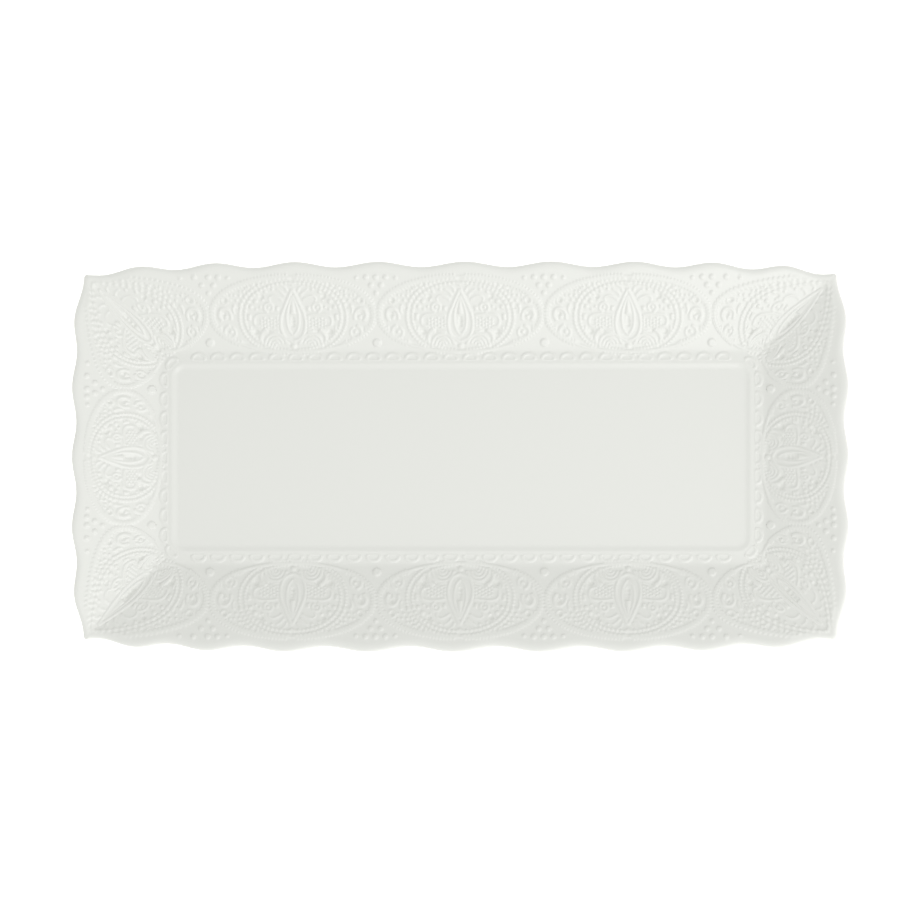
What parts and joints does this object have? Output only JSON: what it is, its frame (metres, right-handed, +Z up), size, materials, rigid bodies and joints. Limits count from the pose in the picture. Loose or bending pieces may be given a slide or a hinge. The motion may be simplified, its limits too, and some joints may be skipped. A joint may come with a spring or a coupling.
{
  "type": "serving platter",
  "caption": "Long rectangular china serving platter with flared flanks, a scalloped lip and raised lace medallions round a plain flat well.",
  "frame": {"origin": "centre of the foot's contact plane, midway between the long and the short sides", "axes": "+X along the platter's length, +Y across it, +Z up out of the well"},
  "size_m": [0.356, 0.179, 0.026],
  "materials": {
    "glazed_china": "gloss",
    "bare_foot": "matte"
  },
  "bodies": {
    "root": {"well_floor": "glazed_china", "foot_ring": "bare_foot", "rim_front": "glazed_china", "rim_back": "glazed_china", "rim_left": "glazed_china", "rim_right": "glazed_china", "lip_front": "glazed_china", "lip_back": "glazed_china", "lip_left": "glazed_china", "lip_right": "glazed_china", "chain_border": "glazed_china", "medallions_front": "glazed_china", "medallions_back": "glazed_china", "medallions_left": "glazed_china", "medallions_right": "glazed_china", "pearls": "glazed_china"}
  },
  "joints": []
}
